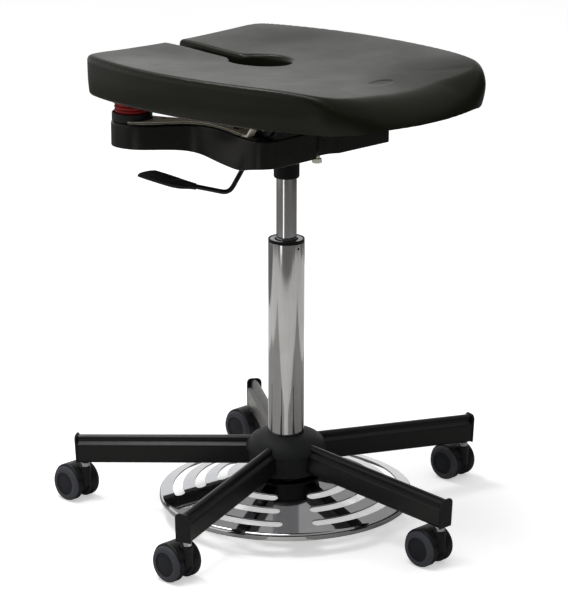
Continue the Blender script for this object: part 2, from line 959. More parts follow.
    def foam_field(self, points: np.ndarray) -> np.ndarray:
        """Distance outside the foam.

        Args:
            points: places in the level seat, one row each.

        Returns:
            The distances.
        """
        x, ahead, z = points[:, 0], -points[:, 1], points[:, 2]
        outline, opening = self.outline_field(x, ahead), self.opening_field(x, ahead)
        share = rise(self.front_lead(x, ahead), *self.edge_blend)
        low = np.clip(1 - z / self.draw_height, 0, 1)
        rear_draw, front_draw = self.draw_in
        draw = rear_draw + (front_draw - rear_draw) * rise(ahead, -self.rear, self.front)
        draw *= 1 - self.draw_fade * share
        edge = self.side_edge + (self.front_edge - self.side_edge) * share * share * (3 - 2 * share)
        across, along = x - self.oval_at[1], ahead - self.oval_at[0]
        oval = np.hypot(across / self.oval_reach[0], along / self.oval_reach[1])
        sunk = self.oval_depth * np.clip((1 - oval) * self.oval_wall, 0, 1)
        top = z - (self.thick - self.dip(x, ahead) - sunk)
        body = self.eased_corner(outline + draw * low * low, top, edge)
        belly = np.clip(1 - (x / self.half) ** 2, 0, 1) * np.maximum(ahead + self.pivot_y, 0)
        body = self.eased_corner(body, -z - self.keel * belly, self.sill)
        lip = self.lip * np.clip(z / self.draw_height, self.least_lip, 1)
        body = self.eased_corner(body, -opening, lip)
        wall = np.maximum(outline + self.board_inset - self.gap, self.board_slot - self.gap - opening)
        return np.maximum(body, -np.maximum(wall, z - self.board_thick - self.gap))

    def outline_points(self, inset: float, count: int) -> list[Point2]:
        """Points round the outline, found by halving along rays.

        Args:
            inset: distance inside the outline.
            count: number of points.

        Returns:
            Points from the front edge round the right, the rear and the left.
        """
        angles = np.linspace(0, 2 * np.pi, count, endpoint=False)
        low, high = np.zeros(count), np.full(count, 400.0)
        for _ in range(40):
            middle = (low + high) / 2
            places = (-middle * np.sin(angles), self.centre + middle * np.cos(angles))
            outside = self.outline_field(*places) + inset > 0
            high, low = np.where(outside, middle, high), np.where(outside, low, middle)
        return [(-r * math.sin(a), -self.centre - r * math.cos(a)) for r, a in zip(low, angles)]

    def opening_outline(self, grow: float, rear: float) -> list[Point2]:
        """Outline of the slot and hole, from the rear round the hole and back.

        Args:
            grow: how much wider than the foam's slot.
            rear: how far back it runs.

        Returns:
            Corners in order.
        """
        half, wide, long_ = self.slot_half + grow, self.hole_half + grow, self.hole_long + grow
        meet = math.degrees(math.asin(half / wide))
        hole = ellipse((0, -self.hole_at), (wide, long_), 90 - meet, meet - 270, 44)
        return [(half, rear)] + hole + [(-half, rear)]

    def board_outline(self, inset: float) -> list[Point2]:
        """Outline of the board: the seat's outline with a wider slot and hole cut into it.

        Args:
            inset: distance inside the seat's outline.

        Returns:
            Corners in order.
        """
        clear = self.slot_half + self.board_slot + 1.5
        outer = [(x, y) for x, y in self.outline_points(inset, 260) if y < 0 or abs(x) > clear]
        split = next(i for i, (x, _) in enumerate(outer) if x > 0)
        mouth = self.opening_outline(self.board_slot, self.rear - inset)
        return outer[:split][::-1] + outer[split:][::-1] + mouth

    def drawn_to_skin(self, points: np.ndarray) -> np.ndarray:
        """Move points onto the foam's skin.

        Args:
            points: rough places in millimetres.

        Returns:
            Places on the skin.
        """
        step, least_slope, longest_move = 0.05, 0.05, 3
        for _ in range(6):
            slope = np.stack([
                (self.foam_field(points + offset) - self.foam_field(points - offset)) / (2 * step)
                for offset in np.eye(3) * step], axis=1)
            size = np.maximum((slope ** 2).sum(axis=1), least_slope)
            move = np.clip(self.foam_field(points) / size, -longest_move, longest_move)
            points = points - move[:, None] * slope
        return points

    def build_foam(self) -> None:
        """Model the foam: a remeshed blank whose points are drawn onto the skin."""
        blank = slab(self.outline_points(self.blank_inset, 220), 2, self.thick - 3)
        cutters = [slab(self.opening_outline(0, self.rear + 30), -20, 100),
                   slab(self.board_outline(self.board_inset), -20, self.board_thick)]
        bm = carved("foam", blank, cutters, self.voxel * MM)
        for turn in range(3):
            if turn:
                bmesh.ops.smooth_vert(bm, verts=bm.verts[:], factor=0.5, use_axis_x=True, use_axis_y=True,
                                      use_axis_z=True)
            points = self.drawn_to_skin(np.array([vert.co for vert in bm.verts]) / MM)
            for vert, place in zip(bm.verts, points):
                vert.co = place * MM
        turned_by(bm, self.placement())
        foam = place_piece("foam_seat", bm, FOAM, Body.SEAT, ["seat_cushion"], crease=50)

    def build_board(self) -> None:
        """Model the board with its slot."""
        form = slab(self.board_outline(self.board_inset + self.gap), 0, self.board_thick, self.board_edge, 2)
        turned_by(form, self.placement())
        place_piece("seat_board_ply", form, STAINED_PLY, Body.SEAT, ["seat_board"])

    def build_bracket(self) -> None:
        """Model the folded bracket, its two ears and its four screw heads."""
        outer, under = self.ear_inner + self.sheet, -self.gap - self.sheet
        middle = (0, self.pivot_y + 1, under + self.sheet / 2)
        parts = [brick((2 * outer, self.bracket_long, self.sheet), middle, 0.8)]
        back, ahead = self.ear_root
        ear = [(back, -self.gap - 0.4), (back, under)]
        ear += arc((0, self.pivot_z - self.underside), self.ear_radius, 180, 360, 14)
        ear += [(ahead, under), (ahead, -self.gap - 0.4)]
        for side in (-outer, self.ear_inner):
            parts.append(moved(along_x(ear, side, side + self.sheet, 0.6, 2), (0, self.pivot_y, 0)))
        head = [(0, under - 2.4), (3.4, under - 2.2), (5.2, under - 1), (5.4, under), (0, -self.gap - 1)]
        parts += [moved(lathe(head, 20), (x, self.pivot_y + y, 0)) for x, y in self.screws]
        form = turned_by(joined(*parts), self.placement())
        place_piece("tilt_bracket", form, COAT, Body.SEAT, ["seat_bracket"])

    def build(self) -> None:
        """Model the foam, the board and the bracket."""
        self.build_foam()
        self.build_board()
        self.build_bracket()


@dataclass
class TiltMechanism:
    """The cast housing under the seat, its bright sheet, hinge, springs and tension bolt."""

    top: float = 563.0
    web: float = 6.0
    wall: float = 5.0
    front: float = 79.0
    front_half: float = 121.0
    corner: float = 27.0
    far_corner: float = 6.0
    recess_half: float = 24.0
    recess_depth: float = 12.0
    waist_half: float = 106.0
    waist_rear: float = 40.0
    fork_half: float = 44.0
    fork_front: float = 30.0
    tip_x: float = 150.0
    tip_y: float = 143.0
    tip_radius: float = 28.7
    front_bottom: float = 524.8
    belly_bottom: float = 516.0
    belly_y: float = -6.0
    tip_bottom: float = 529.2
    tip_start: float = 107.0
    edge: float = 3.0
    rib: float = 4.6
    cross_ribs: tuple[Point2, ...] = ((0, -4), (-38, 8))
    boss_bore: float = 14.4
    boss_radius: float = 19.5
    boss_bottom: float = 503.0
    lobe: Point2 = (3.2, 9.0)
    block_half: float = 19.0
    block_top: float = 588.0
    block_shoulder: Point2 = (11.4, 580.4)
    block_reach: float = 95.0
    sheet: float = 3.0
    sheet_edge: float = 3.0
    sheet_front: float = 36.0
    tab_bend: float = 42.0
    tab_rise: float = 14.0
    tab_lean: float = 10.0
    tab_half: float = 116.0
    hole: float = 3.5
    hole_at: Point2 = (123.0, 111.0)
    oval_at: Point2 = (88.0, -2.0)
    oval_reach: Point2 = (12.5, 7.0)
    cup_radius: float = 27.4
    cup_wall: float = 2.4
    cup_height: float = 11.5
    cup_floor: float = 2.0
    rubber_radius: float = 24.0
    rubber_valley: float = 21.6
    rubber_ribs: int = 3
    rib_shares: Point2 = (0.22, 0.72)
    rubber_top: float = 589.6
    pivot_y: float = -58.0
    pivot_z: float = 578.0
    pin_half: float = 102.5
    pin_radius: float = 5.0
    bolt_y: float = -57.0
    bolt_head: tuple[float, float, float] = (6.8, 512.6, 518.4)
    bolt_washer: tuple[float, float, float] = (6.2, 517.0, 518.6)
    bolt_shank: Point2 = (4.0, 548.0)
    gap: float = 0.3

    def plan(self, inset: float) -> list[Point2]:
        """Plan outline of the housing.

        Args:
            inset: distance inside the outer wall.

        Returns:
            Corners in millimetres, the same number for every inset.
        """
        half, waist, front = self.front_half - inset, self.waist_half - inset, inset - self.front
        tip, fork = self.tip_radius - inset, self.fork_front - inset
        middle = (self.waist_rear + self.tip_y) / 2
        groove = (self.recess_half ** 2 + self.recess_depth ** 2) / (2 * self.recess_depth)
        groove_y = self.recess_depth - self.front - groove
        mouth = math.degrees(math.acos((front - groove_y) / (groove + inset)))
        sides = []
        for corner in (max(self.far_corner - inset, 0.2), self.corner - inset):
            side = arc((half - corner, front + corner), corner, -90, 0, 14)
            side += bezier((half, front + corner), (half, -self.corner), (waist, 0),
                           (waist, self.waist_rear), 12)[1:]
            sides.append(side)
        arm = bezier((waist, self.waist_rear), (waist, middle), (self.tip_x + tip, self.tip_y - 2 * tip),
                     (self.tip_x + tip, self.tip_y), 16)[1:]
        arm += arc((self.tip_x, self.tip_y), tip, 0, 180, 24)[1:]
        arm += bezier((self.tip_x - tip, self.tip_y), (self.tip_x - tip, self.tip_y - tip),
                      (self.fork_half + tip, fork), (self.fork_half - inset, fork), 18)[1:]
        pocket = arc((0, groove_y), groove + inset, 90 + mouth, 90 - mouth, 20)[:-1]
        return sides[0] + arm + mirrored(sides[1] + arm) + pocket

    def floor_at(self, y: float) -> float:
        """Height of the housing's lower rim.

        Args:
            y: place along the housing.

        Returns:
            The height.
        """
        front, belly, start, tip = -self.front - 3, self.belly_bottom, self.tip_start, self.tip_bottom
        line = bezier((front, self.front_bottom), (front / 2, self.front_bottom),
                      (self.belly_y + front / 2, belly), (self.belly_y, belly), 20)
        line += bezier((self.belly_y, belly), (start / 2, belly), (start / 2, tip), (start, tip), 20)
        return float(np.interp(y, *zip(*line)))

    def ring(self, inset: float, above: float, height: Callable[[float], float]) -> list[Vector]:
        """One loop of the housing's wall.

        Args:
            inset: distance inside the outer wall.
            above: how far above the given height.
            height: gives a height at each place along the housing.

        Returns:
            Points of the loop.
        """
        return [Vector((x, y, height(y) + above)) for x, y in self.plan(inset)]

    def wall_loops(self) -> list[list[Vector]]:
        """Loops of the housing's wall, from its top round the lower rim to the underside of its web.

        Returns:
            The loops, each with the same number of points.
        """
        def top(_: float) -> float:
            """Height of the top, the same everywhere."""
            return self.top
        edge = self.edge
        turns = [math.radians(turn) for turn in (0, 30, 60, 90)]
        loops = [self.ring(edge * (1 - math.sin(a)), -edge * (1 - math.cos(a)), top) for a in turns]
        for inset, above in ((0, 1.2), (0.5, 0.3), (1.2, 0), (self.wall - 0.8, 0), (self.wall, 1)):
            loops.append(self.ring(inset, above, self.floor_at))
        loops.append(self.ring(self.wall, -self.web, top))
        return loops

    def rib_between(self, wide: float, middle: float, y: float, floor: float) -> Form:
        """A rib across the inside of the housing.

        Args:
            wide: its length along X.
            middle: its middle along X.
            y: its place along Y.
            floor: the housing's lower rim there.

        Returns:
            The rib.
        """
        ceiling, low = self.top - self.web / 2, floor + 1.5
        return brick((wide, self.rib, ceiling - low), (middle, y, (ceiling + low) / 2), 1)

    def build_housing(self) -> None:
        """Model the casting: rounded outer wall, hollow inside, ribs, the boss and the hinge block."""
        parts = [walled(self.wall_loops())]
        for y, wider in self.cross_ribs:
            parts.append(self.rib_between(2 * self.waist_half + wider, 0, y, self.floor_at(y)))
        ceiling, low = self.top - self.web / 2, self.tip_bottom + 5.5
        reach, (hole, lobe) = math.hypot(self.tip_x, self.tip_y), self.lobe
        for side in (-1, 1):
            middle = (reach + self.boss_radius) / 2
            rib = self.rib_between(reach - self.boss_radius, middle, 0, self.tip_bottom)
            parts.append(turned_by(rib, Matrix.Rotation(math.atan2(self.tip_y, side * self.tip_x), 4, "Z")))
            collar = lathe([(hole, ceiling), (lobe, ceiling), (lobe, low), (hole, low)], 28, closed=True)
            parts.append(moved(collar, (side * self.tip_x, self.tip_y, 0)))
        bore, outer = self.boss_bore, self.boss_radius
        boss = eased([(bore, ceiling), (outer + 2, ceiling), (outer, self.belly_bottom),
                      (outer, self.boss_bottom), (bore, self.boss_bottom)], 1.6)
        parts.append(lathe(boss, 56, closed=True))
        half, (shoulder, height) = self.block_half, self.block_shoulder
        right = [(half, self.top - 3), (half, height), (shoulder, self.block_top)]
        hinge = along_x(eased(right + mirrored(right), 2), -self.block_reach, self.block_reach, 1.2)
        parts.append(moved(hinge, (0, self.pivot_y, 0)))
        place_piece("mechanism_casting", joined(*parts), CAST_COAT, Body.LIFT, ["mechanism_body"], crease=38)

    def sheet_blank(self, low: float, high: float) -> Form:
        """The pressed sheet without its lip.

        Args:
            low: height of its lower face.
            high: height of its upper face.

        Returns:
            The flat sheet with its holes.
        """
        middle = (0, -self.sheet_front - self.front / 2, low)
        cutters = [brick((2 * self.front_half + 20, self.front, 20), middle, 0)]
        holes = ((self.cup_radius + 0.5, (self.tip_x, self.tip_y)), (self.hole, self.hole_at))
        under, over = low - 9, low + 9
        for side in (-1, 1):
            for radius, (x, y) in holes:
                drill = lathe([(0, under), (radius, under), (radius, over), (0, over)])
                cutters.append(moved(drill, (side * x, y, 0)))
            centre = (side * self.oval_at[0], self.oval_at[1])
            cutters.append(slab(ellipse(centre, self.oval_reach, 0, 360, 40)[:-1], under, over))
        return carved("bright_sheet", slab(self.plan(self.sheet_edge), low, high, 0.5, 2), [joined(*cutters)])

    def build_sheet(self) -> None:
        """Model the bright pressed sheet with its turned-up lip and its holes."""
        low = self.top + self.gap
        high, crest = low + self.sheet, low + self.tab_rise
        lean = self.tab_lean / self.tab_rise
        across = self.sheet * math.hypot(1, lean) - self.tab_bend
        root, tip = 3 - self.sheet_front, -self.tab_bend - self.tab_lean
        section = [(root, low), (root, high), (across - self.sheet * lean, high),
                   (across - self.tab_lean, crest), (tip, crest), (-self.tab_bend, low)]
        inside, outside = self.pin_half + 0.5, self.tab_half
        tabs = [along_x(section, *ends, 0.5, 2) for ends in ((-outside, -inside), (inside, outside))]
        form = faced_out(joined(self.sheet_blank(low, high), *tabs))
        for face in form.faces:
            if abs(face.normal.z) < 0.3 and face.calc_center_median().z < (high + 0.1) * MM:
                face.material_index = 1
        place_piece("bright_sheet", form, [ZINC, CUT_EDGE], Body.LIFT, ["mechanism_plate"], crease=30)

    def build_springs(self) -> None:
        """Model both rubber springs in their cups."""
        base = self.top + self.gap
        rim, floor, inner = base + self.cup_height, base + self.cup_floor, self.cup_radius - self.cup_wall
        cup = eased([(0, base), (self.cup_radius, base), (self.cup_radius, rim), (inner, rim), (inner, floor),
                     (0, floor)], 1.0, closed=False)
        low = floor + self.gap
        pitch = (self.rubber_top - rim) / self.rubber_ribs
        bellows = [(0, low), (self.rubber_valley, low), (self.rubber_valley, rim)]
        for i in range(self.rubber_ribs):
            bellows += [(self.rubber_radius, rim + pitch * (i + share)) for share in self.rib_shares]
            bellows.append((self.rubber_valley, rim + pitch * (i + 1)))
        bellows = eased([*bellows, (0, self.rubber_top)], 1.1, closed=False, steps=4)
        for sign, name in ((-1, "right"), (1, "left")):
            place = (sign * self.tip_x, self.tip_y, 0)
            place_piece(f"cup_{name}", moved(lathe(cup), place), BLACK_PLASTIC, Body.LIFT,
                        [f"spring_cup_{name}"])
            rubber = place_piece(f"bellows_{name}", moved(lathe(bellows), place), RED_RUBBER, None,
                                 [f"rubber_spring_{name}"], crease=60)
            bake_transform(rubber)

    def build_hinge_pin(self) -> None:
        """Model the pivot pin with eased ends."""
        half, radius = self.pin_half, self.pin_radius
        pin = eased([(0, -half), (radius, -half), (radius, half), (0, half)], 1.0, closed=False)
        form = moved(about_x(lathe(pin, 32)), (0, self.pivot_y, self.pivot_z))
        place_piece("tilt_pin", form, STEEL, Body.LIFT, ["pivot_pin"])

    def build_bolt(self) -> None:
        """Model the tension bolt: a six-sided head with a washer face."""
        radius, low, high = self.bolt_head
        head = slab(arc((0, 0), radius, 0, 360, 6)[:-1], low, high, 0.5, 2)
        washer, low, high = self.bolt_washer
        shank, top = self.bolt_shank
        stem = lathe([(0, low), (washer, low), (washer, high), (shank, high), (shank, top), (0, top)], 28)
        place_piece("tension_bolt", moved(joined(head, stem), (0, self.bolt_y, 0)), ZINC, Body.LIFT,
                    ["tension_adjuster"])

    def build(self) -> None:
        """Model every part of the mechanism."""
        self.build_housing()
        self.build_sheet()
        self.build_springs()
        self.build_hinge_pin()
        self.build_bolt()


@dataclass
class TiltLever:
    """The bent wire under the housing and the flat paddle on its end."""

    start: tuple[float, float, float] = (-42.3, 9.3, 541.0)
    wire: float = 3.3
    axle: float = 25.0
    drop: float = 71.0
    out: float = 43.0
    bend: float = 11.0
    heading: float = 154.7
    rise: float = 15.6
    reach: float = 48.0
    insert: float = 30.0
    length: float = 84.0
    near: float = 9.0
    far: float = 15.5
    neck: float = 11.0
    flare: float = 34.0
    shoulder: float = 57.0
    thick: float = 6.0
    roll: float = 30.0

    def corners(self) -> tuple[list[Vector], Vector]:
        """Corners of the wire and the direction of its outer run.

        Returns:
            The corners, and a unit vector.
        """
        h, r = math.radians(self.heading), math.radians(self.rise)
        level = Vector((math.cos(h), math.sin(h), 0))
        out = level * math.cos(r) + Vector((0, 0, math.sin(r)))
        axle = Vector((-math.sin(h), math.cos(h), 0))
        top = Vector(self.start)
        foot = top + level * self.out - Vector((0, 0, self.drop))
        return [top + axle * self.axle, top, foot, foot + out * (self.reach + self.insert)], out

    def build_wire(self) -> None:
        """Model the wire with round bends."""
        corners, _ = self.corners()
        path = [corners[0]]
        for before, here, after in zip(corners, corners[1:], corners[2:]):
            start, stop = (here + (end - here).normalized() * self.bend for end in (before, after))
            path += bend(start, here, stop, 8)
        path.append(corners[-1])
        place_piece("lever_wire", sweep(path, self.wire, 18), COAT, Body.LEVER, ["tilt_lever_wire"])

    def paddle_outline(self) -> list[Point2]:
        """Outline of the paddle.

        Returns:
            Points along the far side, round the end and back along the near side.
        """
        neck, root, near, far = self.neck / 2, self.wire + 0.7, self.near, -self.far
        flare, shoulder, length = self.flare, self.shoulder, self.length
        curves = (
            ((0, -root), (flare / 2, -neck), (shoulder - neck, far), (shoulder, far)),
            ((shoulder, far), (shoulder + neck, far), (length, -neck), (length, 0)),
            ((length, 0), (length - neck, neck / 2), (flare + neck, near), (flare, near)),
            ((flare, near), (flare / 2, near), (flare / 2, neck), (0, root)))
        outline = [(0, -root)]
        for curve, steps in zip(curves, (12, 10, 10, 8)):
            outline += bezier(*curve, steps)[1:]
        return outline

    def build_paddle(self) -> None:
        """Model the paddle: a round neck that flattens into a broad, thin, eased blade."""
        neck, root, insert = self.neck / 2, self.wire + 0.7, self.insert
        blade = slab(self.paddle_outline(), -self.thick / 2, self.thick / 2, 1.3, 4)
        for vert in blade.verts:
            share = min(max((vert.co.x / MM - insert) / (self.length - insert), 0), 1)
            if vert.co.z > 0:
                vert.co.z *= 1 - 0.9 * share
        ridge = lathe(eased([(0, 0), (root, 0), (neck, insert / 2), (neck * 0.9, insert), (2, insert + 16),
                             (0, insert + 17)], 1.5, closed=False), 28)
        corners, out = self.corners()
        turn = Matrix.Translation((corners[-1] - out * insert) * MM)
        for angle, axis in ((self.heading, "Z"), (-self.rise, "Y"), (-self.roll, "X")):
            turn = turn @ Matrix.Rotation(math.radians(angle), 4, axis)
        place_piece("lever_paddle", turned_by(joined(blade, about_x(ridge)), turn), BLACK_PLASTIC, Body.LEVER,
                    ["tilt_lever_paddle"], crease=40)

    def build(self) -> None:
        """Model the wire and the paddle."""
        self.build_wire()
        self.build_paddle()


@dataclass
class GasColumn:
    """The outer tube, its top bush, the sliding inner tube and the collar under the mechanism."""

    radius: float = 25.0
    wall: float = 1.5
    top: float = 393.4
    cone_top: float = 116.0
    cone_bottom: float = 64.0
    cone_radius: float = 23.8
    floor: float = 3.0
    rod_hole: float = 8.0
    rivet: float = 1.7
    rivet_height: float = 387.0
    rivet_turn: float = -94.0
    gap: float = 0.3
    bush_bore: float = 14.6
    bush_fit: float = 23.2
    bush_depth: float = 60.0
    bush_lip: float = 4.0
    bush_well: Point2 = (22.8, 2.2)
    washer: Point2 = (16.4, 22.6)
    washer_heights: tuple[float, float, float] = (1.6, 3.1, 3.4)
    tube: float = 14.0
    tube_wall: float = 1.6
    tube_heights: Point2 = (160.0, 545.0)
    tube_floor: float = 6.0
    tube_bore: float = 5.5
    taper: Point2 = (13.0, 502.0)
    collar: tuple[float, float, float] = (14.3, 16.6, 17.6)
    collar_heights: tuple[float, float, float] = (482.8, 484.4, 502.7)

    def build_outer_tube(self) -> None:
        """Model the outer tube with its eased rim and its small rivet hole."""
        low, floor, inner = self.cone_bottom, self.cone_bottom + self.floor, self.radius - self.wall
        hole, outer, cone = self.rod_hole, self.radius, self.cone_radius
        profile = [(hole, low), (cone, low), (outer, self.cone_top), (outer, self.top), (inner, self.top),
                   (inner, self.cone_top), (cone - self.wall, floor), (hole, floor)]
        tube = lathe(eased(profile, 0.5, steps=2), 96, closed=True)
        drill = about_x(lathe([(0, 18), (self.rivet, 18), (self.rivet, 30), (0, 30)], 20))
        turned_by(drill, Matrix.Rotation(math.radians(self.rivet_turn), 4, "Z"))
        form = carved("outer_tube", tube, [moved(drill, (0, 0, self.rivet_height))])
        place_piece("outer_tube", form, COLUMN_CHROME, Body.BASE, ["column_tube"], crease=30)

    def build_bush(self) -> None:
        """Model the black top bush with its bright inner washer."""
        seat, bore, fit = self.top + self.gap, self.bush_bore, self.bush_fit
        well, depth = self.bush_well
        sleeve = [(bore, seat - self.bush_depth), (fit, seat - self.bush_depth), (fit, seat),
                  (self.radius, seat), (self.radius, seat + self.bush_lip), (well, seat + self.bush_lip),
                  (well, seat + depth), (bore, seat + depth)]
        inner, outer = self.washer
        low, inner_top, outer_top = (seat + height for height in self.washer_heights)
        washer = [(inner, low), (outer, low), (outer, outer_top), (inner, inner_top)]
        form = lathe(eased(sleeve, 0.5, steps=2), 80, closed=True)
        ring = lathe(eased(washer, 0.4, steps=2), 80, closed=True)
        for face in ring.faces:
            face.material_index = 1
        place_piece("top_bush", joined(form, ring), [MATTE_BLACK, STEEL], Body.BASE, ["column_guide_bush"])

    def build_inner_tube(self) -> None:
        """Model the sliding tube with its tapered top, and its collar."""
        (low, high), (tip, start), bore = self.tube_heights, self.taper, self.tube_bore
        inner, floor, cap = self.tube - self.tube_wall, low + self.tube_floor, high - self.tube_floor
        profile = [(bore, low), (self.tube, low), (self.tube, start), (tip, high), (0, high), (0, cap),
                   (tip - self.tube_wall, cap), (inner, start), (inner, floor), (bore, floor)]
        tube = lathe(profile, closed=True)
        place_piece("sliding_tube", tube, TUBE_CHROME, Body.LIFT, ["pressure_tube"], crease=30)
        (bore, foot, outer), (low, shoulder, high) = self.collar, self.collar_heights
        collar = eased([(bore, low), (foot, low), (outer, shoulder), (outer, high), (bore, high)], 0.8)
        form = lathe(collar, closed=True)
        place_piece("taper_collar", form, MATTE_BLACK, Body.LIFT, ["pressure_tube_collar"])

    def build(self) -> None:
        """Model the column's visible parts and dress the hidden ones."""
        self.build_outer_tube()
        self.build_bush()
        self.build_inner_tube()
        for node in ("piston_rod", "rod_clip", "thrust_bearing"):
            dress_node(node, STEEL)


@dataclass
class FootDisc:
    """The chromed foot disc with its curved slots, and the sleeve and coil that carry it."""

    radius: float = 176.8
    rim_top: float = 35.5
    rim_bottom: float = 25.0
    roll: float = 5.0
    lip: float = 2.2
    hub_radius: float = 54.0
    hub_top: float = 61.5
    sheet: float = 2.0
    bore: float = 17.5
    bridge: float = 39.5
    slot: float = 14.0
    slot_radii: tuple[float, float, float] = (89.0, 120.0, 151.0)
    sectors: int = 5
    turn: float = 230.7
    coil_wire: float = 1.0
    coil_turns: int = 4

    def height_at(self, r: float) -> float:
        """Height of the cone's upper face at a radius."""
        share = (r - self.hub_radius) / (self.radius - self.roll - self.hub_radius)
        return self.hub_top + (self.rim_top - self.hub_top) * max(share, 0)

    def build_spring(self) -> None:
        """Model the coil that lifts the disc and shortens as the disc goes down."""
        low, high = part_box("foot_disc_spring")
        wire, steps = self.coil_wire, self.coil_turns * 28
        radius, bottom = (high[0] - low[0]) / 2 / MM - wire, low[2] / MM + wire
        climb = high[2] / MM - wire - bottom
        path = []
        for share in (i / steps for i in range(steps + 1)):
            turn = 2 * math.pi * self.coil_turns * share
            path.append(Vector((radius * math.cos(turn), radius * math.sin(turn), bottom + climb * share)))
        coil = place_piece("disc_spring", sweep(path, wire, 8), STEEL, None, ["foot_disc_spring"])
        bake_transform(coil)

    def slot_outline(self, radius: float) -> list[Point2]:
        """Outline of one slot centred on +X.

        Args:
            radius: of its middle line.

        Returns:
            Corners in order.
        """
        half = self.slot / 2
        stop = 180 / self.sectors - math.degrees(math.asin((self.bridge / 2 + half) / radius))
        far, near = (arc((0, 0), radius, a, a, 1)[0] for a in (stop, -stop))
        path = arc((0, 0), radius + half, -stop, stop, 26)
        path += arc(far, half, stop, stop + 180, 14)[1:-1]
        path += arc((0, 0), radius - half, stop, -stop, 22)
        return path + arc(near, half, 180 - stop, 360 - stop, 14)[1:-1]

    def build_sheet(self) -> None:
        """Model the slotted cone with its rolled rim."""
        rim, low, lip = self.radius, self.rim_bottom, self.radius - self.lip
        top = [(self.bore, self.hub_top)]
        top += [(r, self.height_at(r)) for r in np.linspace(self.hub_radius, rim - 6, 24)]
        roll = [(rim + self.roll * (math.sin(a) - 1), self.rim_top + self.roll * (math.cos(a) - 1))
                for a in np.linspace(0.25, math.pi / 2, 6)]
        roll += [(rim, low + 3), (rim - 0.6, low + 0.8), (rim - 1.4, low), (lip, low + 1),
                 (lip, self.rim_top - 5.4)]
        under = [(r, self.height_at(r) - self.sheet) for r in np.linspace(rim - 7.4, self.hub_radius, 24)]
        under.append((self.bore, self.hub_top - self.sheet))
        cutters = []
        for radius in self.slot_radii:
            for i in range(self.sectors):
                turn = Matrix.Rotation(math.radians(self.turn + 360 / self.sectors * (i + 0.5)), 4, "Z")
                cutters.append(turned_by(slab(self.slot_outline(radius), 10, 80), turn))
        form = carved("disc", lathe(top + roll + under, 180, closed=True), [joined(*cutters)])
        place_piece("chrome_foot_disc", form, CHROME, Body.DISC, ["foot_disc"], crease=24)

    def build(self) -> None:
        """Model the disc and its coil, and dress the sleeve."""
        self.build_sheet()
        dress_node("foot_disc_guide", STEEL)
        self.build_spring()


@dataclass
class StarBase:
    """Five coated steel arms with end caps in a moulded hub cover."""

    count: int = 5
    end: float = 300.0
    top_at_end: float = 97.4
    slope: float = 3.1
    first: float = -90.0
    width: float = 21.0
    height: float = 39.0
    bead: float = 6.0
    shoulder: float = 13.0
    neck: float = 8.5
    foot: float = 2.5
    inner: float = 34.0
    gap: float = 0.3
    cap: float = 3.5
    proud: float = 1.4
    side_proud: float = 0.6
    cap_corner: float = 7.0
    crown: float = 56.0
    crease: float = 97.0
    hub_top: float = 119.5
    hub_bottom: float = 66.0
    hub_bore: float = 25.3
    hub_inside: float = 33.0
    skirt: float = 50.0

    def placement(self, number: int) -> Matrix:
        """Placement of an arm that is drawn with X outwards from its end face and Z up from its top line.

        Args:
            number: which arm, from 0.

        Returns:
            The placement in metres.
        """
        turn = Matrix.Rotation(math.radians(self.first + 360 / self.count * number), 4, "Z")
        lift = Matrix.Translation(Vector((self.end, 0, self.top_at_end)) * MM)
        return turn @ lift @ Matrix.Rotation(math.radians(self.slope), 4, "Y")

    def arm_outline(self) -> list[Point2]:
        """Section of an arm: a flat-sided tube with a round bead along its top.

        Returns:
            Corners in order.
        """
        half, bead = self.width / 2, self.bead
        right = [(half - self.foot, -self.height), (half, self.foot - self.height), (half, -self.shoulder),
                 (bead + 1.4, -self.neck - 1.6), (bead - 0.6, -self.neck)]
        sides = [eased(side, 1.1, closed=False) for side in (right, mirrored(right))]
        return sides[0] + arc((0, -bead), bead, 8, 172, 16) + sides[1]

    def build_arm(self, number: int) -> None:
        """Model one arm and its end cap.

        Args:
            number: which arm, from 0.
        """
        place = self.placement(number)
        arm = turned_by(along_x(self.arm_outline(), self.inner - self.end, -self.cap - self.gap), place)
        place_piece(f"arm_{number + 1}", arm, COAT, Body.BASE, [f"base_arm_{number + 1}"], crease=30)
        half, corner = self.width / 2 + self.side_proud, self.cap_corner
        right = [(half, -self.height)] + arc((half - corner, self.proud - corner), corner, 0, 90, 8)
        cap = turned_by(along_x(right + mirrored(right), -self.cap, 0, 1.1), place)
        place_piece(f"end_cap_{number + 1}", cap, BLACK_PLASTIC, Body.BASE,
                    [f"arm_end_cap_{number + 1}"], crease=35)

    def build_hub(self) -> None:
        """Model the hub cover: a dome over a seam and a slightly narrower skirt."""
        crown, crease, skirt = self.crown, self.crease, self.skirt
        low, roof = self.hub_bottom, self.hub_top - 3
        profile = [(skirt - 3, low), (skirt - 1, low), (skirt, low + 1), (crown - 2.6, crease - 2.6),
                   (crown - 1.6, crease - 1.9), (crown - 1.4, crease - 0.9), (crown - 0.2, crease - 0.4)]
        profile += ellipse((self.hub_bore, crease), (crown - self.hub_bore, self.hub_top - crease), 0, 90, 17)
        profile += [(self.hub_bore, roof), (self.hub_inside, roof), (crown - 6, crease),
                    (crown - 6, crease - 4)]
        shell = lathe(profile, 120, closed=True)
        place_piece("hub_shell", shell, GREY_PLASTIC, Body.BASE, ["hub_cover"], crease=40)
        dress_node("hub_core", STEEL)

    def build(self) -> None:
        """Model the hub and all the arms."""
        self.build_hub()
        for number in range(self.count):
            self.build_arm(number)


